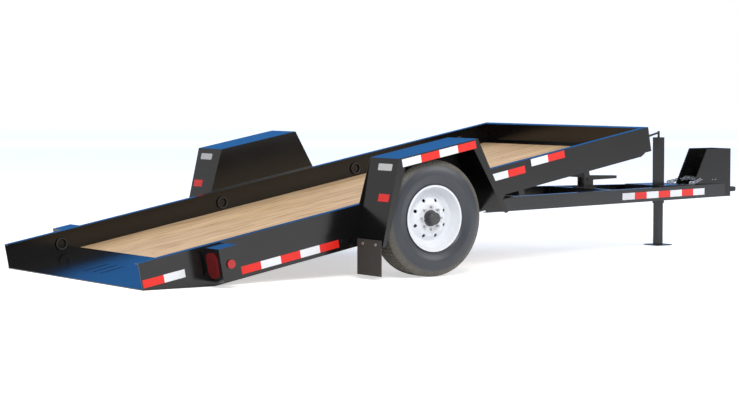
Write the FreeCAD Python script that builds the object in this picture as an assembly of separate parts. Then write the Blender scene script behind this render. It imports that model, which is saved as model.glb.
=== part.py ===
"""Single-axle drop-deck tilt trailer, tail edge on the ground and tongue on its jack.

World frame: +X forward to the towing eye, +Y left, +Z up, ground at Z = 0, and the origin
below the middle of the whole trailer.  The deck is drawn in its own frame (station along the
top edge of the side rails, height above that edge) and then pitched into place.
"""
import FreeCAD, Part
import math
import os

V = FreeCAD.Vector

# Deck and side rails
deck_pitch = math.radians(10.67)
deck_length = 4255.0
deck_half = 955.0
rail_thick = 6.0
rail_flange = 50.0
rail_depth = 268.0
tail_depth = 172.0
nose_depth = 198.0
nose_step_depth = 177.0
nose_step_length = 100.0
nose_length = 1365.0
floor_drop = 152.0
plank_thick = 38.0
plank_count = 13
plank_gap = 3.0
planks_start = 560.0
planks_end_gap = 60.0
steel_floor = 6.0
member_height = 45.0
member_width = 50.0
member_pitch = 600.0
stringer_width = 50.0
stringer_height = 32.0
fit = 0.3

# Axle and wheels
axle_station = 2069.0
tyre_radius = 388.0
tyre_width = 235.0
tyre_bore = 206.0
rim_flange = 221.0
rim_width = 190.0
wheel_gap = 182.0
axle_square = 76.0
axle_ahead = 130.0
arm_thick = 34.0
arm_out = 8.0
spindle_radius = 22.0
spindle_clearance = 0.05
hub_radius = 62.0
cap_radius = 40.0
cap_reach = 55.0
bolt_circle = 82.5
vent_circle = 125.0

# Fenders
fender_out = 332.0
fender_headroom = 488.0
fender_rear_top_in = 144.0
fender_front_top_out = 21.0
fender_rear_foot_out = 91.0
fender_front_foot_out = 183.0
fender_foot_drop = 250.0
fender_thick = 5.0
fender_lip = 62.0
flap_width = 270.0
flap_height = 240.0
flap_thick = 8.0

# Tongue
hinge_from_nose = 1355.0
hinge_drop = 291.0
hinge_inset = 265.0
hinge_radius = 25.0
hinge_clearance = 0.05
knuckle_radius = 38.0
knuckle_length = 90.0
ear_thick = 10.0
ear_gap = 5.0
beam_height = 102.0
beam_width = 50.0
beam_wall = 5.0
tip_ahead = 2850.408
tip_y = 82.0
post_depth = 60.0
post_height = 380.0
gusset_foot = 330.0
gusset_top = 190.0
post_wall = 10.0
ring_bore = 31.75
ring_outer = 60.0
ring_thick = 36.0
ring_ahead = 78.0
ring_shank = 26.0

# Jack and latch
jack_ahead = 2240.408
jack_square = 64.0
jack_wall = 5.0
jack_top = 845.0
jack_bottom = 330.0
leg_clearance = 0.25
leg_top = 460.0
foot_square = 155.0
foot_thick = 8.0
crank_reach = 150.0
crank_rise = 45.0
latch_ahead = 1490.408
latch_lever_length = 300.0

# Lamp boxes
lamp_box_station = 470.0
lamp_box_length = 140.0
lamp_box_out = 190.0
lamp_box_top = 8.0
lamp_box_drop = 226.0
lamp_box_wall = 4.0
tail_lamp_width = 120.0
tail_lamp_height = 165.0
tail_lamp_round = 45.0
marker_radius = 28.0

tail_lift = tail_depth * math.cos(deck_pitch)
axle_height = (tyre_radius - tail_lift - axle_station * math.sin(deck_pitch)) / math.cos(deck_pitch)
tail_x = -(axle_station * math.cos(deck_pitch) - axle_height * math.sin(deck_pitch))

# Places that follow from the sizes above
wheel_middle = deck_half + wheel_gap
fender_half = deck_half + fender_out
# with the deck sitting on the tyre, the tyre's top climbs with its whole diameter
fender_rise = 2 * tyre_radius - fender_headroom
fender_rear_top = axle_station - tyre_radius + fender_rear_top_in
fender_front_top = axle_station + tyre_radius + fender_front_top_out
fender_rear_foot = axle_station - tyre_radius - fender_rear_foot_out
fender_front_foot = axle_station + tyre_radius + fender_front_foot_out
nose_start = deck_length - nose_length
hinge_station = deck_length - hinge_from_nose
hinge_y = deck_half - hinge_inset
hinge_x = tail_x + hinge_station * math.cos(deck_pitch) + hinge_drop * math.sin(deck_pitch)
tip_x = hinge_x + tip_ahead
jack_x = hinge_x + jack_ahead
latch_x = hinge_x + latch_ahead
nodes = {}


def on_deck(shape):
    """Move a shape from the deck's frame into the world."""
    turned = shape.copy()
    turned.rotate(V(0, 0, 0), V(0, 1, 0), -math.degrees(deck_pitch))
    turned.translate(V(tail_x, 0, tail_lift))
    return turned


def deck_point(station, height):
    """World X and Z of a point given in the deck's frame."""
    x = tail_x + station * math.cos(deck_pitch) - height * math.sin(deck_pitch)
    z = tail_lift + station * math.sin(deck_pitch) + height * math.cos(deck_pitch)
    return x, z


def box(x0, x1, y0, y1, z0, z1):
    return Part.makeBox(x1 - x0, y1 - y0, z1 - z0, V(x0, y0, z0))


def plate(outline, y0, y1):
    """Flat plate with an X-Z outline, from y0 to y1."""
    points = [V(x, y0, z) for x, z in outline]
    face = Part.Face(Part.makePolygon(points + points[:1]))
    return face.extrude(V(0, y1 - y0, 0))


def bar_y(x, z, radius, y0, y1):
    return Part.makeCylinder(radius, y1 - y0, V(x, y0, z), V(0, 1, 0))


def mirror_y(shape):
    return shape.mirror(V(0, 0, 0), V(0, 1, 0))


def pair(name, shape):
    """Keep a right-hand piece (negative Y) and its mirror on the left."""
    nodes["right_" + name] = shape
    nodes["left_" + name] = mirror_y(shape)


def turned_y(profile, x, y, z):
    """Solid of revolution about a line along Y; the profile lists (radius, y offset)."""
    points = [V(x + r, y + dy, z) for r, dy in profile]
    face = Part.Face(Part.makePolygon(points + points[:1]))
    return face.revolve(V(x, y, z), V(0, 1, 0), 360)


def build_deck():
    ground_run = (rail_depth - tail_depth) / math.tan(deck_pitch)
    web = [(0, 0), (0, -tail_depth), (ground_run, -rail_depth), (nose_start - 70, -rail_depth),
           (nose_start, -nose_depth), (deck_length - nose_step_length, -nose_depth),
           (deck_length - nose_step_length + 40, -nose_step_depth),
           (deck_length, -nose_step_depth), (deck_length, 0)]
    rail = plate(web, -deck_half, -deck_half + rail_thick)
    flange = box(0, deck_length, -deck_half + rail_thick, -deck_half + rail_flange,
                 -rail_thick, 0)
    pair("side_rail", on_deck(rail.fuse(flange).removeSplitter()))

    inner = deck_half - rail_thick
    wall = box(deck_length - rail_thick, deck_length, -inner, inner, -nose_step_depth,
               -rail_thick)
    ledge = box(deck_length - planks_end_gap, deck_length - rail_thick, -inner, inner,
                -floor_drop - 2, -floor_drop + 4)
    top = box(deck_length - rail_flange, deck_length, -deck_half + rail_flange,
              deck_half - rail_flange, -rail_thick, 0)
    nodes["front_wall"] = on_deck(wall.fuse([ledge, top]).removeSplitter())

    width = (2 * inner - 2 * fit - (plank_count - 1) * plank_gap) / plank_count
    planks = []
    for i in range(plank_count):
        y = -inner + fit + i * (width + plank_gap)
        planks.append(box(planks_start, deck_length - planks_end_gap, y, y + width,
                          -floor_drop - plank_thick, -floor_drop))
    nodes["deck_planks"] = on_deck(Part.makeCompound(planks))

    tail_top = -tail_depth + steel_floor
    ramp = plate([(0, -tail_depth), (0, tail_top), (planks_start, -floor_drop),
                  (planks_start, -floor_drop - steel_floor)], -inner, inner)
    for row in range(3):
        y = -120 + row * 110
        slot = box(150, 330, y, y + 15, -rail_depth, 0)
        ramp = ramp.cut(slot)
    nodes["tail_plate"] = on_deck(ramp)

    under = -floor_drop - plank_thick
    members = []
    station = planks_start + member_width
    while station < deck_length - planks_end_gap - member_width:
        members.append(box(station, station + member_width, -inner, inner,
                           under - member_height, under))
        station += member_pitch
    nodes["cross_members"] = on_deck(Part.makeCompound(members))

    tail_member = box(planks_start - 60, planks_start - 10, -inner, inner, -rail_depth + 30,
                      -floor_drop - steel_floor - 6)
    nodes["tail_member"] = on_deck(tail_member)

    # two frame stringers under the cross members carry the axle and the tongue's hinge
    low = under - member_height
    stringer = box(planks_start + member_width, hinge_station - 60, -hinge_y - stringer_width,
                   -hinge_y, low - stringer_height, low)
    pair("stringer", on_deck(stringer))


def build_axle():
    x = axle_station + axle_ahead
    z = -rail_depth - axle_square / 2 - 5
    tube = box(x - axle_square / 2, x + axle_square / 2, -deck_half + 40, deck_half - 40,
               z - axle_square / 2, z + axle_square / 2)
    nodes["axle_tube"] = on_deck(tube)
    arm_y0 = -deck_half - arm_out - arm_thick
    arm_y1 = -deck_half - arm_out
    dx, dz = axle_ahead, z - axle_height
    length = math.hypot(dx, dz)
    ux, uz = dx / length, dz / length
    half = 38.0
    outline = [(axle_station - uz * half, axle_height + ux * half),
               (x - uz * half, z + ux * half), (x + uz * half, z - ux * half),
               (axle_station + uz * half, axle_height - ux * half)]
    arm = plate(outline, arm_y0, arm_y1)
    arm = arm.fuse([bar_y(x, z, half, arm_y0, -deck_half + 40),
                    bar_y(axle_station, axle_height, half, arm_y0, arm_y1)])
    spindle = bar_y(axle_station, axle_height, spindle_radius, -wheel_middle - 40, arm_y0 + 1)
    pair("torsion_arm", on_deck(arm.fuse(spindle)))
    hanger = plate([(x - 60, -rail_depth + 1), (x + 60, -rail_depth + 1),
                    (x + 60, z - 20), (x + 38, z - 20), (x + 38, z + 38), (x - 38, z + 38),
                    (x - 38, z - 20), (x - 60, z - 20)], -hinge_y - stringer_width, -hinge_y)
    top = -floor_drop - plank_thick - member_height - stringer_height
    hanger = hanger.fuse(box(x - 60, x + 60, -hinge_y - stringer_width, -hinge_y, -rail_depth, top))
    pair("axle_hanger", on_deck(hanger))


def build_wheels():
    r, w = tyre_radius, tyre_width / 2
    bead = rim_width / 2
    tyre = turned_y([(tyre_bore, -bead + 6), (tyre_bore + 22, -bead + 4), (r - 110, -w),
                     (r - 55, -w + 2), (r - 14, -w + 22), (r, -w + 42), (r, w - 42),
                     (r - 14, w - 22), (r - 55, w - 2), (r - 110, w), (tyre_bore + 22, bead - 4),
                     (tyre_bore, bead - 6)], 0, -wheel_middle, r)
    pair("tyre", tyre)
    # negative offsets face outwards on the right-hand wheel
    well = tyre_bore - fit
    rim = turned_y([(rim_flange, -bead), (rim_flange, -bead - 5), (well + 2, -bead - 5),
                    (well - 8, -bead + 20), (well - 20, -bead + 50), (well - 26, -30),
                    (150, -28), (120, -46), (95, -52), (hub_radius - 8, -52),
                    (hub_radius - 8, -44), (92, -44), (118, -38), (148, -20),
                    (well - 24, -20), (well - 10, bead - 10), (well - 6, bead + 5),
                    (rim_flange, bead + 5), (rim_flange, bead), (well, bead),
                    (well, -bead)], 0, -wheel_middle, r)
    for i in range(8):
        turn = math.radians(45 * i + 22.5)
        hole = bar_y(vent_circle * math.cos(turn), r + vent_circle * math.sin(turn), 12,
                     -wheel_middle - 70, -wheel_middle)
        rim = rim.cut(hole)
    pair("rim", rim)
    bore = spindle_radius + spindle_clearance
    hub = turned_y([(bore, 55), (hub_radius + 30, 55), (hub_radius + 30, -43.7),
                    (hub_radius - 9, -43.7), (hub_radius - 9, -60), (cap_radius, -62),
                    (cap_radius, -52 - cap_reach), (cap_radius - 6, -58 - cap_reach),
                    (0, -58 - cap_reach), (0, -42), (bore, -42)], 0, -wheel_middle, r)
    studs = []
    for i in range(8):
        turn = math.radians(45 * i)
        studs.append(bar_y(bolt_circle * math.cos(turn) * 0.92,
                           r + bolt_circle * math.sin(turn) * 0.92, 8,
                           -wheel_middle - 78, -wheel_middle - 52))
    pair("hub", hub)
    pair("lug_nuts", Part.makeCompound(studs))


def fender_outline(inset):
    """Three straight runs of the fender arch, moved inwards by inset."""
    points = [(fender_rear_foot, -fender_foot_drop), (fender_rear_top, fender_rise),
              (fender_front_top, fender_rise), (fender_front_foot, -fender_foot_drop)]
    if not inset:
        return points
    (x0, z0), (x1, z1), (x2, z2), (x3, z3) = points
    rear = inset / math.cos(math.atan2(x1 - x0, z1 - z0))
    front = inset / math.cos(math.atan2(x3 - x2, z2 - z3))
    rear_lean = (x1 - x0) / (z1 - z0)
    front_lean = (x3 - x2) / (z2 - z3)
    return [(x0 + rear, z0), (x1 + rear - inset * rear_lean, z1 - inset),
            (x2 - front + inset * front_lean, z2 - inset), (x3 - front, z3)]


def build_fenders():
    outer, inner = fender_outline(0), fender_outline(fender_thick)
    arch = outer + inner[::-1]
    shell = plate(arch, -fender_half, -deck_half - fit)
    lip = fender_outline(fender_lip)
    narrow = fender_outline(26.0)
    band = outer[:2] + outer[2:] + [narrow[3], lip[2], lip[1], narrow[0]]
    skirt = plate(band, -fender_half, -fender_half + fender_thick)
    back = plate(outer[1:3] + [(fender_front_foot - 60, 0), (fender_rear_foot + 90, 0)],
                 -deck_half - fit - fender_thick, -deck_half - fit)
    pair("fender", on_deck(shell.fuse([skirt, back]).removeSplitter()))

    x, z = deck_point(fender_rear_foot, -fender_foot_drop)
    flap = box(x - flap_thick - fit, x - fit, -fender_half + 8, -fender_half + 8 + flap_width,
               z - flap_height + 50, z + 45)
    pair("mud_flap", flap)


def build_lamps():
    s0 = lamp_box_station
    s1 = s0 + lamp_box_length
    y0, y1 = -deck_half - lamp_box_out, -deck_half - fit
    shell = box(s0, s1, y0, y1, -lamp_box_drop, -lamp_box_top)
    wall = lamp_box_wall
    hollow = box(s0 + wall, s1 - wall, y0 + wall, y1, -lamp_box_drop + wall, -lamp_box_top - wall)
    pair("lamp_box", on_deck(shell.cut(hollow)))
    middle = -(lamp_box_drop + lamp_box_top) / 2
    across = (y0 + y1) / 2
    lens = box(s0 - 12, s0 - fit, across - tail_lamp_width / 2, across + tail_lamp_width / 2,
               middle - tail_lamp_height / 2, middle + tail_lamp_height / 2)
    corners = [e for e in lens.Edges if e.BoundBox.XLength > 1 and e.Length < 13]
    pair("tail_lamp", on_deck(lens.makeFillet(tail_lamp_round, corners)))
    marker = bar_y((s0 + s1) / 2, middle, marker_radius, y0 - 12, y0 - fit)
    pair("side_marker", on_deck(marker))


def build_tongue():
    hx, hz = deck_point(hinge_station, -hinge_drop)
    pin_radius = hinge_radius
    bore = pin_radius + hinge_clearance
    half = knuckle_length / 2
    solid_knuckle = bar_y(hx, hz, knuckle_radius, -hinge_y - half, -hinge_y + half)
    knuckle = solid_knuckle.cut(bar_y(hx, hz, bore, -hinge_y - half, -hinge_y + half))
    pair("hinge_knuckle", knuckle)
    run = math.hypot(tip_x - hx, hinge_y - tip_y)
    lean = math.atan2(hinge_y - tip_y, tip_x - hx)
    web = box(0, run, -beam_width / 2, -beam_width / 2 + beam_wall, -beam_height / 2,
              beam_height / 2)
    flanges = [box(0, run, -beam_width / 2, beam_width / 2, z, z + beam_wall)
               for z in (-beam_height / 2, beam_height / 2 - beam_wall)]
    beam = web.fuse(flanges).removeSplitter()
    beam.rotate(V(0, 0, 0), V(0, 0, 1), math.degrees(lean))
    beam.translate(V(hx, -hinge_y, hz))
    beam = beam.cut(bar_y(hx, hz, knuckle_radius, -2 * hinge_y, 0))
    beam = beam.cut(box(hx - 200, hx, -2 * hinge_y, 0, hz - 200, hz + 200))
    beam = beam.cut(box(tip_x - fit, tip_x + 300, -500, 500, hz - 200, hz + 200))
    pair("tongue_beam", beam)

    def beam_inner(x):
        y = -hinge_y + (x - hx) * math.tan(lean)
        return abs(y) - beam_width / 2 / math.cos(lean) - fit

    ties = []
    for x in (latch_x - 60, jack_x - 170, jack_x + 130):
        reach = beam_inner(x + 60)
        ties.append(box(x, x + 60, -reach, reach, hz - beam_height / 2, hz + beam_height / 2))
    nodes["tongue_ties"] = Part.makeCompound(ties)

    ear_top = -floor_drop - plank_thick - member_height
    ears = []
    for y in (-hinge_y - half - ear_gap - ear_thick, -hinge_y + half + ear_gap):
        ear = plate([(hinge_station - 60, ear_top), (hinge_station + 60, ear_top),
                     (hinge_station + 38, -hinge_drop - 38), (hinge_station - 38, -hinge_drop - 38)],
                    y, y + ear_thick)
        ears.append(ear.cut(bar_y(hinge_station, -hinge_drop, pin_radius, y, y + ear_thick)))
    pair("hinge_ears", on_deck(Part.makeCompound(ears)))
    header = box(hinge_station - 60, hinge_station + 60, -deck_half + rail_thick,
                 deck_half - rail_thick, ear_top, ear_top + 6)
    riser = box(hinge_station - 60, hinge_station - 54, -deck_half + rail_thick,
                deck_half - rail_thick, ear_top + 6, -floor_drop - plank_thick)
    members = nodes["cross_members"]
    header_shape = on_deck(header.fuse(riser)).cut(members)
    nodes["hinge_header"] = header_shape
    pin_reach = hinge_y + half + ear_gap + ear_thick + 12
    nodes["right_hinge_pin"] = bar_y(hx, hz, pin_radius, -pin_reach, -2 * hinge_y + pin_reach)
    nodes["left_hinge_pin"] = mirror_y(nodes["right_hinge_pin"])

    base = hz - beam_height / 2
    post_half = tip_y + beam_width / 2
    face = box(tip_x + post_depth - post_wall, tip_x + post_depth, -post_half, post_half,
               base, base + post_height)
    sides = [box(tip_x, tip_x + post_depth - post_wall, y, y + post_wall, base,
                 base + post_height) for y in (-post_half, post_half - post_wall)]
    post = face.fuse(sides)
    for y in (-30, 30):
        for i in range(5):
            z = base + 50 + i * 65
            post = post.cut(Part.makeCylinder(8, post_wall + 2,
                                              V(tip_x + post_depth - post_wall - 1, y, z),
                                              V(1, 0, 0)))
    nodes["coupler_post"] = post.removeSplitter()
    low = base + beam_height + fit
    high = base + post_height
    gussets = [plate([(tip_x - gusset_foot, low), (tip_x - fit, low), (tip_x - fit, high),
                      (tip_x - gusset_top, high)], y, y + post_wall)
               for y in (-post_half, post_half - post_wall)]
    nodes["post_gussets"] = Part.makeCompound(gussets)

    ring_x = tip_x + post_depth + ring_ahead
    ring_z = hz
    ring = Part.makeCylinder(ring_outer, ring_thick, V(ring_x, 0, ring_z - ring_thick / 2))
    ring = ring.makeFillet(10, [e for e in ring.Edges if e.BoundBox.ZLength < 0.1])
    shank = box(tip_x + post_depth + 12, ring_x - ring_bore, -ring_shank, ring_shank,
                ring_z - ring_thick / 2 + 3, ring_z + ring_thick / 2 - 3)
    flange = box(tip_x + post_depth, tip_x + post_depth + 14, -50, 50, ring_z - 45, ring_z + 85)
    eye = ring.fuse([shank, flange])
    eye = eye.cut(Part.makeCylinder(ring_bore, ring_thick, V(ring_x, 0, ring_z - ring_thick / 2)))
    nodes["towing_eye"] = eye.removeSplitter()
    return ring_x, ring_z, hx, hz


def build_jack(hz):
    s = jack_square / 2
    inner = s - jack_wall
    tube = box(jack_x - s, jack_x + s, -s, s, jack_bottom, jack_top)
    tube = tube.cut(box(jack_x - inner, jack_x + inner, -inner, inner, jack_bottom,
                        jack_top - jack_wall))
    tube = tube.cut(Part.makeCylinder(9.05, 20, V(jack_x, 0, jack_top - 10)))
    nodes["jack_tube"] = tube
    top = hz + beam_height / 2
    deck_plate = box(jack_x - 170, jack_x + 190, -200, 200, top, top + 8)
    hole = box(jack_x - s, jack_x + s, -s, s, top, top + 8)
    nodes["jack_plate"] = deck_plate.cut(hole)
    half = inner - leg_clearance
    leg = box(jack_x - half, jack_x + half, -half, half, foot_thick, leg_top)
    foot = box(jack_x - foot_square / 2, jack_x + foot_square / 2, -foot_square / 2,
               foot_square / 2, 0, foot_thick)
    nodes["jack_leg"] = leg
    nodes["jack_foot"] = foot
    stem = Part.makeCylinder(9, crank_rise + 14, V(jack_x, 0, jack_top - 10))
    arm = Part.makeCylinder(8, crank_reach, V(jack_x, 0, jack_top + crank_rise - 8), V(-1, 0, -0.25))
    grip = Part.makeCylinder(12, 70, V(jack_x - crank_reach * 0.97, 0, jack_top + crank_rise - 50))
    nodes["jack_crank"] = stem.fuse([arm, grip]).removeSplitter()


def build_latch(hz):
    top = hz + beam_height / 2
    base = box(latch_x - 60, latch_x + 60, -70, 70, top, top + 10)
    cheeks = [box(latch_x - 40, latch_x + 50, y, y + 10, top + 10, top + 90)
              for y in (-40, 30)]
    cheek_holes = [bar_y(latch_x, top + 70, 10, -40, 40)]
    stand = base.fuse(cheeks)
    for hole in cheek_holes:
        stand = stand.cut(hole)
    nodes["latch_stand"] = stand.removeSplitter()
    pivot = bar_y(latch_x, top + 70, 9.95, -46, 46)
    lever = plate([(latch_x - 24, top + 40), (latch_x - 24, top + 90), (latch_x + 20, top + 96),
                   (latch_x + latch_lever_length, top + 88), (latch_x + latch_lever_length, top + 66),
                   (latch_x + 40, top + 60), (latch_x + 20, top + 40)], -24, 24)
    nodes["latch_lever"] = lever.fuse(pivot)
    # keeper under the nose of the deck that the latch catches
    back, front = deck_length - planks_end_gap + 5, deck_length - rail_thick
    hook = plate([(back, -floor_drop - 12), (front, -floor_drop - 12),
                  (front, -nose_step_depth - 70), (front - 28, -nose_step_depth - 70),
                  (front - 34, -nose_step_depth - 30), (back, -nose_step_depth - 30)], -30, 30)
    nodes["latch_keeper"] = on_deck(hook)


build_deck()
build_axle()
build_wheels()
build_fenders()
build_lamps()
ring_x, ring_z, pivot_x, pivot_z = build_tongue()
build_jack(pivot_z)
build_latch(pivot_z)

span = Part.makeCompound(list(nodes.values())).BoundBox
centre_shift = -(span.XMin + span.XMax) / 2
os.makedirs("parts", exist_ok=True)
for name, shape in nodes.items():
    placed = shape.copy()
    placed.translate(V(centre_shift, 0, 0))
    placed.exportStep("parts/" + name + ".step")
print("origin shift", round(centre_shift, 3))
print("towing eye", round(ring_x + centre_shift, 3), round(ring_z, 3))
print("tongue hinge", round(pivot_x + centre_shift, 3), round(pivot_z, 3))
print("axle", round(centre_shift, 3), tyre_radius)
print("lowest", round(span.ZMin, 3), "nodes", len(nodes))
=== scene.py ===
import bmesh
import bpy
import math
from mathutils import Matrix, Vector


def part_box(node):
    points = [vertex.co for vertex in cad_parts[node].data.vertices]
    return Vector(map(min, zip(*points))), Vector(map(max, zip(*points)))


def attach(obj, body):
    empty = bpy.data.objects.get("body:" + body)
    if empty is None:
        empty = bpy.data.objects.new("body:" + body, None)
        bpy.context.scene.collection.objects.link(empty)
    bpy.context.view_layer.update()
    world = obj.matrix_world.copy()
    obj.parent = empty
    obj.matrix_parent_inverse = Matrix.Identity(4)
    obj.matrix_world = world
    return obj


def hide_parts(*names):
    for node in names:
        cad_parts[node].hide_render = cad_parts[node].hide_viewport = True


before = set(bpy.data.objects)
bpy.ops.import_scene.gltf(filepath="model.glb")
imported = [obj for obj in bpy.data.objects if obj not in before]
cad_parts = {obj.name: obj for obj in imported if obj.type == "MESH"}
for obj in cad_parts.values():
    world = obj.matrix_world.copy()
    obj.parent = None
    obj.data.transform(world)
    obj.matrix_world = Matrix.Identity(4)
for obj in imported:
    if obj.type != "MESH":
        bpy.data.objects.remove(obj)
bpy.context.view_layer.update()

# --- Camera: eye level behind the right-hand rear corner, long lens ---------------------------
camera_data = bpy.data.cameras.new("camera")
camera_data.sensor_width = 36.0
camera_data.lens = 108.0
camera_data.clip_end = 200.0
camera = bpy.data.objects.new("camera", camera_data)
bpy.context.collection.objects.link(camera)
camera.location = (-9.540, -12.981, 1.337)
camera.rotation_euler = (math.radians(86.57), 0.0, math.radians(-34.59))
bpy.context.scene.camera = camera
bpy.context.scene.view_settings.view_transform = "Standard"


# --- Shared surface effects -------------------------------------------------------------------
# Road dust and slight unevenness on enamel, built once and placed in each paint with its own
# amounts.  Scale is in object metres.
def noise_group():
    group = bpy.data.node_groups.new("dust_and_ripple", "ShaderNodeTree")
    for name, low in (("Scale", 3.0), ("Dust", 0.1), ("Rough", 0.15)):
        socket = group.interface.new_socket(name, in_out="INPUT", socket_type="NodeSocketFloat")
        socket.default_value = low
    group.interface.new_socket("Roughness", in_out="OUTPUT", socket_type="NodeSocketFloat")
    group.interface.new_socket("Mask", in_out="OUTPUT", socket_type="NodeSocketFloat")
    group.interface.new_socket("Height", in_out="OUTPUT", socket_type="NodeSocketFloat")
    tree, link = group.nodes, group.links.new
    inlet, outlet = tree.new("NodeGroupInput"), tree.new("NodeGroupOutput")
    place = tree.new("ShaderNodeTexCoord")
    cloud = tree.new("ShaderNodeTexNoise")
    cloud.inputs["Detail"].default_value = 6.0
    link(place.outputs["Object"], cloud.inputs["Vector"])
    link(inlet.outputs["Scale"], cloud.inputs["Scale"])
    mask = tree.new("ShaderNodeMath")
    mask.operation = "MULTIPLY"
    link(cloud.outputs["Fac"], mask.inputs[0])
    link(inlet.outputs["Dust"], mask.inputs[1])
    rough = tree.new("ShaderNodeMath")
    rough.operation = "ADD"
    link(mask.outputs[0], rough.inputs[0])
    link(inlet.outputs["Rough"], rough.inputs[1])
    link(rough.outputs[0], outlet.inputs["Roughness"])
    link(mask.outputs[0], outlet.inputs["Mask"])
    link(cloud.outputs["Fac"], outlet.inputs["Height"])
    return group


dust_group = noise_group()


def surface(name, colour, dusty, rough, dust=0.1, scale=3.0, bump=0.0, metal=0.0):
    """A plain finish: base colour going towards a dusty one, uneven gloss, fine bump."""
    material = bpy.data.materials.new(name)
    material.use_nodes = True
    tree, link = material.node_tree.nodes, material.node_tree.links.new
    shader = tree["Principled BSDF"]
    shader.inputs["Metallic"].default_value = metal
    effect = tree.new("ShaderNodeGroup")
    effect.node_tree = dust_group
    effect.inputs["Scale"].default_value = scale
    effect.inputs["Dust"].default_value = dust
    effect.inputs["Rough"].default_value = rough
    mix = tree.new("ShaderNodeMix")
    mix.data_type = "RGBA"
    mix.inputs["A"].default_value = (*colour, 1.0)
    mix.inputs["B"].default_value = (*dusty, 1.0)
    link(effect.outputs["Mask"], mix.inputs["Factor"])
    link(mix.outputs["Result"], shader.inputs["Base Color"])
    link(effect.outputs["Roughness"], shader.inputs["Roughness"])
    if bump:
        relief = tree.new("ShaderNodeBump")
        relief.inputs["Strength"].default_value = bump
        relief.inputs["Distance"].default_value = 0.002
        link(effect.outputs["Height"], relief.inputs["Height"])
        link(relief.outputs["Normal"], shader.inputs["Normal"])
    return material


def finish_node(name, material):
    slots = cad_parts[name].data.materials
    if len(slots):
        for i in range(len(slots)):
            slots[i] = material
    else:
        slots.append(material)


SIDES = (("right", -1), ("left", 1))

# --- Painted steelwork ------------------------------------------------------------------------
# Folded plate and channel, welded and sprayed in gloss black enamel.  The castings and the
# jack share the paint with a little more dust on them.
black_enamel = surface("black_enamel", (0.003, 0.003, 0.0035), (0.03, 0.026, 0.022), 0.12,
                       dust=0.14, scale=2.2, bump=0.03)
black_casting = surface("black_casting", (0.008, 0.008, 0.009), (0.06, 0.055, 0.05), 0.38,
                        dust=0.3, scale=18.0, bump=0.3)
flap_rubber = surface("flap_rubber", (0.022, 0.019, 0.017), (0.09, 0.075, 0.06), 0.55,
                      dust=0.5, scale=9.0, bump=0.2)
wheel_white = surface("wheel_white", (0.74, 0.77, 0.82), (0.45, 0.45, 0.45), 0.24,
                      dust=0.25, scale=7.0, bump=0.04)
zinc_plate = surface("zinc_plate", (0.55, 0.56, 0.58), (0.3, 0.28, 0.25), 0.3, dust=0.4,
                     scale=40.0, metal=1.0)
hub_black = surface("hub_black", (0.012, 0.013, 0.016), (0.2, 0.2, 0.21), 0.3, dust=0.35,
                    scale=30.0, bump=0.2)
red_lens = surface("red_lens", (0.42, 0.006, 0.008), (0.3, 0.02, 0.02), 0.08, dust=0.15, scale=20.0)
dark_lens = surface("dark_lens", (0.13, 0.004, 0.006), (0.3, 0.03, 0.03), 0.06, dust=0.2, scale=20.0)

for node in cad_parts:
    finish_node(node, black_enamel)
for node in ("towing_eye", "latch_stand", "latch_lever", "jack_crank", "axle_tube",
             "right_torsion_arm", "left_torsion_arm"):
    finish_node(node, black_casting)
for side, sign in SIDES:
    finish_node(side + "_mud_flap", flap_rubber)
    finish_node(side + "_rim", wheel_white)
    finish_node(side + "_hub", hub_black)
    finish_node(side + "_lug_nuts", zinc_plate)
    finish_node(side + "_tail_lamp", dark_lens)
    finish_node(side + "_side_marker", red_lens)

# --- Deck planks ------------------------------------------------------------------------------
# Thirteen rough-sawn softwood planks laid lengthways.  Each has its own tone, with grain drawn
# out along the trailer, knots, and a weathered bleaching.
rail_low, rail_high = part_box("right_side_rail")
deck_low, deck_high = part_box("deck_planks")
plank_pitch = (deck_high.y - deck_low.y + 0.003) / 13


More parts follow.
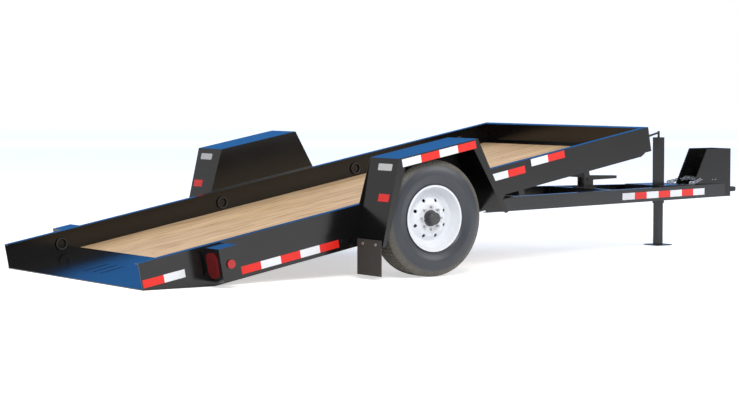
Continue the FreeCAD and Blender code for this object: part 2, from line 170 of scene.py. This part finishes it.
def plank_wood():
    material = bpy.data.materials.new("plank_wood")
    material.use_nodes = True
    tree, link = material.node_tree.nodes, material.node_tree.links.new
    shader = tree["Principled BSDF"]
    place = tree.new("ShaderNodeTexCoord")
    split = tree.new("ShaderNodeSeparateXYZ")
    link(place.outputs["Object"], split.inputs[0])

    def maths(operation, first, second=None):
        node = tree.new("ShaderNodeMath")
        node.operation = operation
        for i, value in enumerate((first, second)):
            if value is None:
                continue
            if isinstance(value, (int, float)):
                node.inputs[i].default_value = value
            else:
                link(value, node.inputs[i])
        return node.outputs[0]

    shifted = maths("SUBTRACT", split.outputs["Y"], deck_low.y)
    number = maths("FLOOR", maths("DIVIDE", shifted, plank_pitch))
    tone = tree.new("ShaderNodeTexWhiteNoise")
    tone.noise_dimensions = "1D"
    link(number, tone.inputs["W"])
    stretch = tree.new("ShaderNodeCombineXYZ")
    link(maths("ADD", maths("MULTIPLY", split.outputs["X"], 1.6),
               maths("MULTIPLY", tone.outputs["Value"], 37.0)), stretch.inputs["X"])
    link(maths("MULTIPLY", split.outputs["Y"], 42.0), stretch.inputs["Y"])
    link(maths("MULTIPLY", split.outputs["Z"], 6.0), stretch.inputs["Z"])
    grain = tree.new("ShaderNodeTexNoise")
    grain.inputs["Scale"].default_value = 1.5
    grain.inputs["Detail"].default_value = 8.0
    grain.inputs["Distortion"].default_value = 0.6
    link(stretch.outputs[0], grain.inputs["Vector"])
    ramp = tree.new("ShaderNodeValToRGB")
    ramp.color_ramp.elements[0].position = 0.28
    ramp.color_ramp.elements[0].color = (0.40, 0.225, 0.105, 1.0)
    ramp.color_ramp.elements[1].position = 0.72
    ramp.color_ramp.elements[1].color = (0.83, 0.62, 0.39, 1.0)
    middle = ramp.color_ramp.elements.new(0.5)
    middle.color = (0.72, 0.49, 0.275, 1.0)
    link(grain.outputs["Fac"], ramp.inputs["Fac"])
    knots = tree.new("ShaderNodeTexVoronoi")
    knots.inputs["Scale"].default_value = 1.0
    wide = tree.new("ShaderNodeCombineXYZ")
    link(maths("MULTIPLY", split.outputs["X"], 2.6), wide.inputs["X"])
    link(maths("MULTIPLY", split.outputs["Y"], 7.0), wide.inputs["Y"])
    link(wide.outputs[0], knots.inputs["Vector"])
    spot = maths("LESS_THAN", knots.outputs["Distance"], 0.055)
    darker = tree.new("ShaderNodeMix")
    darker.data_type = "RGBA"
    darker.inputs["B"].default_value = (0.2, 0.09, 0.035, 1.0)
    link(maths("MULTIPLY", spot, 0.6), darker.inputs["Factor"])
    link(ramp.outputs["Color"], darker.inputs["A"])
    varied = tree.new("ShaderNodeHueSaturation")
    link(darker.outputs["Result"], varied.inputs["Color"])
    link(maths("ADD", maths("MULTIPLY", tone.outputs["Value"], 0.3), 0.82), varied.inputs["Value"])
    link(varied.outputs["Color"], shader.inputs["Base Color"])
    shader.inputs["Roughness"].default_value = 0.72
    relief = tree.new("ShaderNodeBump")
    relief.inputs["Strength"].default_value = 0.5
    relief.inputs["Distance"].default_value = 0.003
    link(grain.outputs["Fac"], relief.inputs["Height"])
    link(relief.outputs["Normal"], shader.inputs["Normal"])
    return material


finish_node("deck_planks", plank_wood())

# --- Tyres ------------------------------------------------------------------------------------
# Radial trailer tyres: four straight tread grooves with cross sipes, a rounded shoulder, and
# raised rings on the sidewall.  Dust sits on the tread; the sidewalls are dressed blue-black.
tyre_low, tyre_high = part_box("right_tyre")
axle_x = (tyre_low.x + tyre_high.x) / 2
axle_z = (tyre_low.z + tyre_high.z) / 2
tyre_radius = (tyre_high.z - tyre_low.z) / 2
SIPES = 84


def tyre_rubber():
    material = bpy.data.materials.new("tyre_rubber")
    material.use_nodes = True
    tree, link = material.node_tree.nodes, material.node_tree.links.new
    shader = tree["Principled BSDF"]
    place = tree.new("ShaderNodeTexCoord")
    centre = tree.new("ShaderNodeMapping")
    centre.inputs["Location"].default_value = (-axle_x, 0.0, -axle_z)
    link(place.outputs["Object"], centre.inputs["Vector"])
    flat = tree.new("ShaderNodeVectorMath")
    flat.operation = "MULTIPLY"
    flat.inputs[1].default_value = (1.0, 0.0, 1.0)
    link(centre.outputs["Vector"], flat.inputs[0])
    reach = tree.new("ShaderNodeVectorMath")
    reach.operation = "LENGTH"
    link(flat.outputs["Vector"], reach.inputs[0])
    tread = tree.new("ShaderNodeMapRange")
    tread.inputs["From Min"].default_value = tyre_radius - 0.05
    tread.inputs["From Max"].default_value = tyre_radius - 0.02
    link(reach.outputs["Value"], tread.inputs["Value"])
    cloud = tree.new("ShaderNodeTexNoise")
    cloud.inputs["Scale"].default_value = 14.0
    cloud.inputs["Detail"].default_value = 6.0
    link(place.outputs["Object"], cloud.inputs["Vector"])
    dusty = tree.new("ShaderNodeMix")
    dusty.data_type = "RGBA"
    dusty.inputs["A"].default_value = (0.075, 0.07, 0.062, 1.0)
    dusty.inputs["B"].default_value = (0.19, 0.175, 0.15, 1.0)
    link(cloud.outputs["Fac"], dusty.inputs["Factor"])
    mix = tree.new("ShaderNodeMix")
    mix.data_type = "RGBA"
    mix.inputs["A"].default_value = (0.032, 0.037, 0.047, 1.0)
    link(tread.outputs["Result"], mix.inputs["Factor"])
    link(dusty.outputs["Result"], mix.inputs["B"])
    link(mix.outputs["Result"], shader.inputs["Base Color"])
    rough = tree.new("ShaderNodeMapRange")
    rough.inputs["To Min"].default_value = 0.34
    rough.inputs["To Max"].default_value = 0.8
    link(tread.outputs["Result"], rough.inputs["Value"])
    link(rough.outputs["Result"], shader.inputs["Roughness"])
    split = tree.new("ShaderNodeSeparateXYZ")
    link(centre.outputs["Vector"], split.inputs[0])
    turn = tree.new("ShaderNodeMath")
    turn.operation = "ARCTAN2"
    link(split.outputs["Z"], turn.inputs[0])
    link(split.outputs["X"], turn.inputs[1])
    many = tree.new("ShaderNodeMath")
    many.operation = "MULTIPLY"
    many.inputs[1].default_value = SIPES
    link(turn.outputs[0], many.inputs[0])
    wave = tree.new("ShaderNodeMath")
    wave.operation = "SINE"
    link(many.outputs[0], wave.inputs[0])
    only = tree.new("ShaderNodeMath")
    only.operation = "MULTIPLY"
    link(wave.outputs[0], only.inputs[0])
    link(tread.outputs["Result"], only.inputs[1])
    relief = tree.new("ShaderNodeBump")
    relief.inputs["Strength"].default_value = 0.6
    relief.inputs["Distance"].default_value = 0.003
    link(only.outputs[0], relief.inputs["Height"])
    link(relief.outputs["Normal"], shader.inputs["Normal"])
    return material


rubber = tyre_rubber()


def spun(name, profile, middle_y, steps):
    """Closed ring spun about the axle from (radius, y offset) points."""
    mesh = bmesh.new()
    verts = [mesh.verts.new((axle_x + r, middle_y + y, axle_z)) for r, y in profile]
    edges = [mesh.edges.new((a, b)) for a, b in zip(verts, verts[1:] + verts[:1])]
    bmesh.ops.spin(mesh, geom=verts + edges, cent=(axle_x, middle_y, axle_z), axis=(0, 1, 0),
                   dvec=(0, 0, 0), angle=math.tau, steps=steps, use_merge=True)
    bmesh.ops.remove_doubles(mesh, verts=mesh.verts, dist=1e-5)
    bmesh.ops.recalc_face_normals(mesh, faces=mesh.faces)
    return settle(name, mesh)


def settle(name, mesh, smooth=35.0):
    """Turn a bmesh into an object whose gentle edges are shaded smooth."""
    for face in mesh.faces:
        face.smooth = True
    for edge in mesh.edges:
        if len(edge.link_faces) == 2 and edge.calc_face_angle() > math.radians(smooth):
            edge.smooth = False
    data = bpy.data.meshes.new(name)
    mesh.to_mesh(data)
    mesh.free()
    piece = bpy.data.objects.new(name, data)
    bpy.context.collection.objects.link(piece)
    return piece


def tyre_profile():
    """Half the section from bead to crown, mirrored, with four grooves cut in the tread."""
    half = (tyre_high.y - tyre_low.y) / 2
    side = [(0.2065, 0.086), (0.222, 0.091), (0.232, 0.098), (0.236, 0.101), (0.240, 0.101),
            (0.262, half - 0.006), (0.285, half - 0.0006), (0.292, half), (0.296, half - 0.0012),
            (0.318, half - 0.0008), (0.322, half - 0.0024), (0.340, half - 0.006),
            (0.356, half - 0.013), (0.370, half - 0.021), (0.380, half - 0.031)]
    crown = []
    y = half - 0.037
    for groove in (0.060, 0.021):
        crown += [(tyre_radius - 0.0025, y), (tyre_radius - 0.001, groove + 0.005),
                  (tyre_radius - 0.010, groove + 0.004), (tyre_radius - 0.010, groove - 0.004),
                  (tyre_radius - 0.001, groove - 0.005)]
        y = groove - 0.008
    upper = side + crown + [(tyre_radius, 0.004)]
    return upper + [(r, -y) for r, y in reversed(upper)]


for side, sign in SIDES:
    low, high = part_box(side + "_tyre")
    tyre = spun(side + "_tyre_tread", tyre_profile(), (low.y + high.y) / 2, 120)
    tyre.data.materials.append(rubber)
    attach(tyre, side + "_wheel")
    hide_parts(side + "_tyre")

# --- Reflective tape --------------------------------------------------------------------------
# Red and white conspicuity tape, 51 mm wide in 152 mm lengths, stuck along the side rails, the
# fender lips and the tongue beams.  A fine diamond pattern lies under the clear face.
deck_pitch = math.radians(10.67)
to_deck = Matrix.Translation((rail_low.x, 0.0, 0.172 * math.cos(deck_pitch)))
to_deck = to_deck @ Matrix.Rotation(-deck_pitch, 4, "Y")
TAPE_LENGTH = 0.1524
TAPE_WIDTH = 0.051
TAPE_THICK = 0.0008


def tape_finish(name, colour, other):
    material = surface(name, colour, other, 0.2, dust=0.3, scale=25.0)
    tree, link = material.node_tree.nodes, material.node_tree.links.new
    place = tree.new("ShaderNodeTexCoord")
    cells = tree.new("ShaderNodeTexVoronoi")
    cells.inputs["Scale"].default_value = 260.0
    link(place.outputs["Object"], cells.inputs["Vector"])
    relief = tree.new("ShaderNodeBump")
    relief.inputs["Strength"].default_value = 0.35
    relief.inputs["Distance"].default_value = 0.0005
    link(cells.outputs["Distance"], relief.inputs["Height"])
    link(relief.outputs["Normal"], tree["Principled BSDF"].inputs["Normal"])
    return material


tape_red = tape_finish("tape_red", (0.80, 0.012, 0.004), (0.45, 0.02, 0.02))
tape_white = tape_finish("tape_white", (0.80, 0.83, 0.88), (0.6, 0.6, 0.62))


def patch(name, corner, along, up, out, matrix, material, body, round_by=0.0):
    """Thin slab from a corner: along and up span its face, out is its thickness."""
    mesh = bmesh.new()
    bmesh.ops.create_cube(mesh, size=1.0)
    bmesh.ops.translate(mesh, verts=mesh.verts, vec=(0.5, 0.5, 0.5))
    spread = Matrix((along, up, out)).transposed().to_4x4()
    bmesh.ops.transform(mesh, matrix=matrix @ Matrix.Translation(corner) @ spread,
                        verts=mesh.verts)
    if round_by:
        thin = [e for e in mesh.edges if e.calc_length() < Vector(out).length * 1.5]
        bmesh.ops.bevel(mesh, geom=thin, offset=round_by, offset_type="OFFSET", affect="EDGES",
                        segments=4, profile=0.5, material=-1)
    bmesh.ops.recalc_face_normals(mesh, faces=mesh.faces)
    piece = settle(name, mesh)
    piece.data.materials.append(material)
    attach(piece, body)
    return piece


def tape_run(name, start, height, y, sign, colours, matrix, body, lean=0.0):
    for i, colour in enumerate(colours):
        at = start + i * TAPE_LENGTH
        along = (TAPE_LENGTH * math.cos(lean), TAPE_LENGTH * math.sin(lean), 0.0)
        corner = (start + i * along[0], y + i * along[1], height)
        material, slot_name = ((tape_red, "tape_red") if colour == "R" else
                               (tape_white, "tape_white"))
        patch(f"{name}_{i}", corner, along, (0.0, 0.0, TAPE_WIDTH),
              (0.0, sign * TAPE_THICK, 0.0), matrix, material, body)


rail_face = -rail_low.y
fender_low, fender_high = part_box("right_fender")
fender_face = -fender_low.y
for side, sign in SIDES:
    for label, start, height, colours in (("tail", 0.008, -0.160, "RW"), ("side", 0.715, -0.242, "RWRWR"),
                                          ("nose", 3.150, -0.056, "WR"), ("mid", 2.785, -0.088, "WR")):
        tape_run(f"{side}_{label}_tape", start, height, sign * rail_face, sign, colours, to_deck, "deck")
    tape_run(side + "_fender_tape", 1.845, 0.228, sign * fender_face, sign, "WRWR", to_deck, "deck")

# the tongue's tape follows the outer web of each beam
beam_low, beam_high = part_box("right_tongue_beam")
hinge_low, hinge_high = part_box("right_hinge_knuckle")
post_low, post_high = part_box("coupler_post")
hinge_x, hinge_y = (hinge_low.x + hinge_high.x) / 2, (hinge_low.y + hinge_high.y) / 2
tip_y = 0.082
beam_lean = math.atan2(-hinge_y - tip_y, post_low.x - hinge_x)
for side, sign in SIDES:
    run_x = post_low.x - 0.275 - 7 * TAPE_LENGTH * math.cos(beam_lean)
    web_y = -hinge_y - (run_x - hinge_x) * math.tan(beam_lean) + 0.025 / math.cos(beam_lean)
    tape_run(side + "_tongue_tape", run_x, beam_low.z + 0.024, sign * web_y, sign, "WRWRWRW",
             Matrix.Identity(4), "tongue", lean=-sign * beam_lean)

# --- Small fittings ---------------------------------------------------------------------------
# Plain reflectors and blank label plates on the fenders' rear legs, bolt heads at their feet,
# and lashing rings along the inside of the rails.
plain_label = surface("plain_label", (0.55, 0.56, 0.57), (0.4, 0.4, 0.4), 0.35, dust=0.2, scale=30.0)
leg_lean = math.atan2(1.825 - 1.590, 0.288 + 0.250)
to_leg = to_deck @ Matrix.Translation((1.590, 0.0, -0.250)) @ Matrix.Rotation(leg_lean, 4, "Y")


def bolt_head(name, place, axis, radius, tall, body):
    mesh = bmesh.new()
    bmesh.ops.create_cone(mesh, cap_ends=True, segments=6, radius1=radius, radius2=radius * 0.94,
                          depth=tall)
    turn = Vector((0, 0, 1)).rotation_difference(Vector(axis)).to_matrix().to_4x4()
    bmesh.ops.transform(mesh, matrix=Matrix.Translation(place) @ turn, verts=mesh.verts)
    piece = settle(name, mesh)
    piece.data.materials.append(zinc_plate)
    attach(piece, body)


for side, sign in SIDES:
    near, far = sorted((sign * (fender_face - 0.030), sign * (fender_face - 0.150)))
    patch(side + "_leg_reflector", (-0.0012, near, 0.300), (0.0, far - near, 0.0),
          (0.0, 0.0, 0.05), (0.0012, 0.0, 0.0), to_leg, tape_red, "deck")
    near, far = sorted((sign * (fender_face - 0.060), sign * (fender_face - 0.215)))
    patch(side + "_leg_plate", (-0.0014, near, 0.505), (0.0, far - near, 0.0),
          (0.0, 0.0, 0.045), (0.0014, 0.0, 0.0), to_leg, plain_label, "deck", 0.008)
    flap_low, flap_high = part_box(side + "_mud_flap")
    for part in (0.2, 0.75):
        place = (flap_low.x - 0.003, flap_low.y + part * (flap_high.y - flap_low.y), flap_high.z - 0.03)
        bolt_head(f"{side}_flap_bolt_{int(part * 100)}", place, (-1, 0, 0), 0.011, 0.008, "deck")


def lashing_ring(name, station, sign):
    """Round-bar ring hanging on a plate on the rail's inner face."""
    mesh = bmesh.new()
    bmesh.ops.create_circle(mesh, segments=12, radius=0.0065)
    bmesh.ops.translate(mesh, verts=mesh.verts, vec=(0.038, 0, 0))
    bmesh.ops.spin(mesh, geom=mesh.verts[:] + mesh.edges[:], cent=(0, 0, 0), axis=(0, 1, 0),
                   dvec=(0, 0, 0), angle=math.tau, steps=32, use_merge=True)
    place = to_deck @ Matrix.Translation((station, sign * (rail_face - 0.016), -0.095))
    bmesh.ops.transform(mesh, matrix=place, verts=mesh.verts)
    bmesh.ops.remove_doubles(mesh, verts=mesh.verts, dist=1e-5)
    bmesh.ops.recalc_face_normals(mesh, faces=mesh.faces)
    ring = settle(name, mesh)
    ring.data.materials.append(black_casting)
    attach(ring, "deck")


for side, sign in SIDES:
    for i, station in enumerate((0.42, 1.75, 2.95, 3.95)):
        lashing_ring(f"{side}_lashing_ring_{i}", station, sign)

# --- Safety chains ----------------------------------------------------------------------------
# Two short galvanised chains from the coupler post, each lying back over its tongue beam.
chain_zinc = surface("chain_zinc", (0.42, 0.45, 0.5), (0.2, 0.2, 0.2), 0.28, dust=0.4,
                     scale=60.0, metal=1.0)


def chain(name, points):
    """Oval links threaded along a gentle line, every second one turned a quarter."""
    mesh = bmesh.new()
    for i, (a, b) in enumerate(zip(points, points[1:])):
        before = set(mesh.verts)
        ring = bmesh.ops.create_circle(mesh, segments=8, radius=0.0042)["verts"]
        bmesh.ops.translate(mesh, verts=ring, vec=(0.012, 0, 0))
        edges = [e for e in mesh.edges if e.verts[0] in ring and e.verts[1] in ring]
        bmesh.ops.spin(mesh, geom=ring + edges, cent=(0, 0, 0), axis=(0, 1, 0), dvec=(0, 0, 0),
                       angle=math.tau, steps=16, use_merge=True)
        link_verts = [v for v in mesh.verts if v not in before]
        bmesh.ops.scale(mesh, verts=link_verts, vec=(1.0, 1.0, 1.55))
        step = Vector(b) - Vector(a)
        turn = Vector((0, 0, 1)).rotation_difference(step).to_matrix().to_4x4()
        spin_link = Matrix.Rotation(math.radians(90 * (i % 2)), 4, "Z")
        middle = (Vector(a) + Vector(b)) / 2
        bmesh.ops.transform(mesh, matrix=Matrix.Translation(middle) @ turn @ spin_link,
                            verts=link_verts)
    bmesh.ops.remove_doubles(mesh, verts=mesh.verts, dist=1e-5)
    bmesh.ops.recalc_face_normals(mesh, faces=mesh.faces)
    piece = settle(name, mesh)
    piece.data.materials.append(chain_zinc)
    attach(piece, "tongue")


LINKS = 19
for side, sign in SIDES:
    route = []
    for i in range(LINKS + 1):
        part = i / LINKS
        x = post_low.x - 0.03 - 0.36 * part
        y = sign * (0.070 + 0.055 * part + 0.012 * math.sin(part * 9.0))
        z = beam_high.z + 0.014 + 0.085 * max(0.0, 1.0 - 3.2 * part) ** 2 + 0.03 * math.sin(part * math.pi) ** 2
        route.append((x, y, z))
    chain(side + "_safety_chain", route)

# --- Studio -----------------------------------------------------------------------------------
# Pale floor, a white surround for the camera, two soft lamps overhead and one broad sky-blue
# panel ahead that the upper faces of the enamel pick up.
floor_mesh = bmesh.new()
bmesh.ops.create_grid(floor_mesh, x_segments=1, y_segments=1, size=60.0)
floor = settle("floor", floor_mesh)
floor.location.z = -0.001
pale = bpy.data.materials.new("pale_floor")
pale.use_nodes = True
pale_tree = pale.node_tree
pale_shader = pale_tree.nodes["Principled BSDF"]
pale_shader.inputs["Base Color"].default_value = (0.9, 0.9, 0.9, 1.0)
pale_shader.inputs["Roughness"].default_value = 0.9
glow = pale_tree.nodes.new("ShaderNodeLightPath")
shown = pale_tree.nodes.new("ShaderNodeMath")
shown.operation = "MAXIMUM"
pale_tree.links.new(glow.outputs["Is Camera Ray"], shown.inputs[0])
pale_tree.links.new(glow.outputs["Is Glossy Ray"], shown.inputs[1])
lift = pale_tree.nodes.new("ShaderNodeMath")
lift.operation = "MULTIPLY"
lift.inputs[1].default_value = 0.55
pale_tree.links.new(shown.outputs[0], lift.inputs[0])
pale_shader.inputs["Emission Color"].default_value = (1.0, 1.0, 1.0, 1.0)
pale_tree.links.new(lift.outputs[0], pale_shader.inputs["Emission Strength"])
floor.data.materials.append(pale)

world = bpy.data.worlds.new("surround")
bpy.context.scene.world = world
world.use_nodes = True
nodes, link = world.node_tree.nodes, world.node_tree.links.new
background = nodes["Background"]
background.inputs["Color"].default_value = (1.0, 1.0, 1.0, 1.0)
rays = nodes.new("ShaderNodeLightPath")
seen = nodes.new("ShaderNodeMath")
seen.operation = "MAXIMUM"
link(rays.outputs["Is Camera Ray"], seen.inputs[0])
link(rays.outputs["Is Transmission Ray"], seen.inputs[1])
level = nodes.new("ShaderNodeMapRange")
level.inputs["To Min"].default_value = 0.62
level.inputs["To Max"].default_value = 1.0
link(seen.outputs[0], level.inputs["Value"])
link(level.outputs["Result"], background.inputs["Strength"])


def lamp(name, place, target, size, power, colour):
    data = bpy.data.lights.new(name, "AREA")
    data.shape = "DISK"
    data.size = size
    data.energy = power
    data.color = colour
    made = bpy.data.objects.new(name, data)
    bpy.context.collection.objects.link(made)
    made.location = place
    made.rotation_euler = (Vector(target) - Vector(place)).to_track_quat("-Z", "Y").to_euler()


panel_mesh = bmesh.new()
bmesh.ops.create_grid(panel_mesh, x_segments=1, y_segments=1, size=1.0)
bmesh.ops.scale(panel_mesh, verts=panel_mesh.verts, vec=(34.0, 13.0, 1.0))
bmesh.ops.rotate(panel_mesh, verts=panel_mesh.verts, matrix=Matrix.Rotation(math.radians(90), 3, "X"))
bmesh.ops.rotate(panel_mesh, verts=panel_mesh.verts, matrix=Matrix.Rotation(math.radians(-35), 3, "Z"))
bmesh.ops.translate(panel_mesh, verts=panel_mesh.verts, vec=(15.0, 22.0, 15.0))
sky_panel = settle("sky_panel", panel_mesh)
sky_blue = bpy.data.materials.new("sky_blue")
sky_blue.use_nodes = True
sky_shader = sky_blue.node_tree.nodes["Principled BSDF"]
sky_shader.inputs["Base Color"].default_value = (0.0, 0.0, 0.0, 1.0)
sky_shader.inputs["Emission Color"].default_value = (0.03, 0.27, 0.80, 1.0)
sky_shader.inputs["Emission Strength"].default_value = 1.0
sky_panel.data.materials.append(sky_blue)
sky_panel.visible_camera = False
sky_panel.visible_shadow = False

lamp("key_lamp", (-5.0, -8.0, 7.5), (0.0, 0.0, 0.4), 4.0, 620.0, (1.0, 0.98, 0.95))
lamp("fill_lamp", (5.0, -7.0, 5.0), (0.5, 0.0, 0.4), 5.0, 260.0, (1.0, 1.0, 1.0))
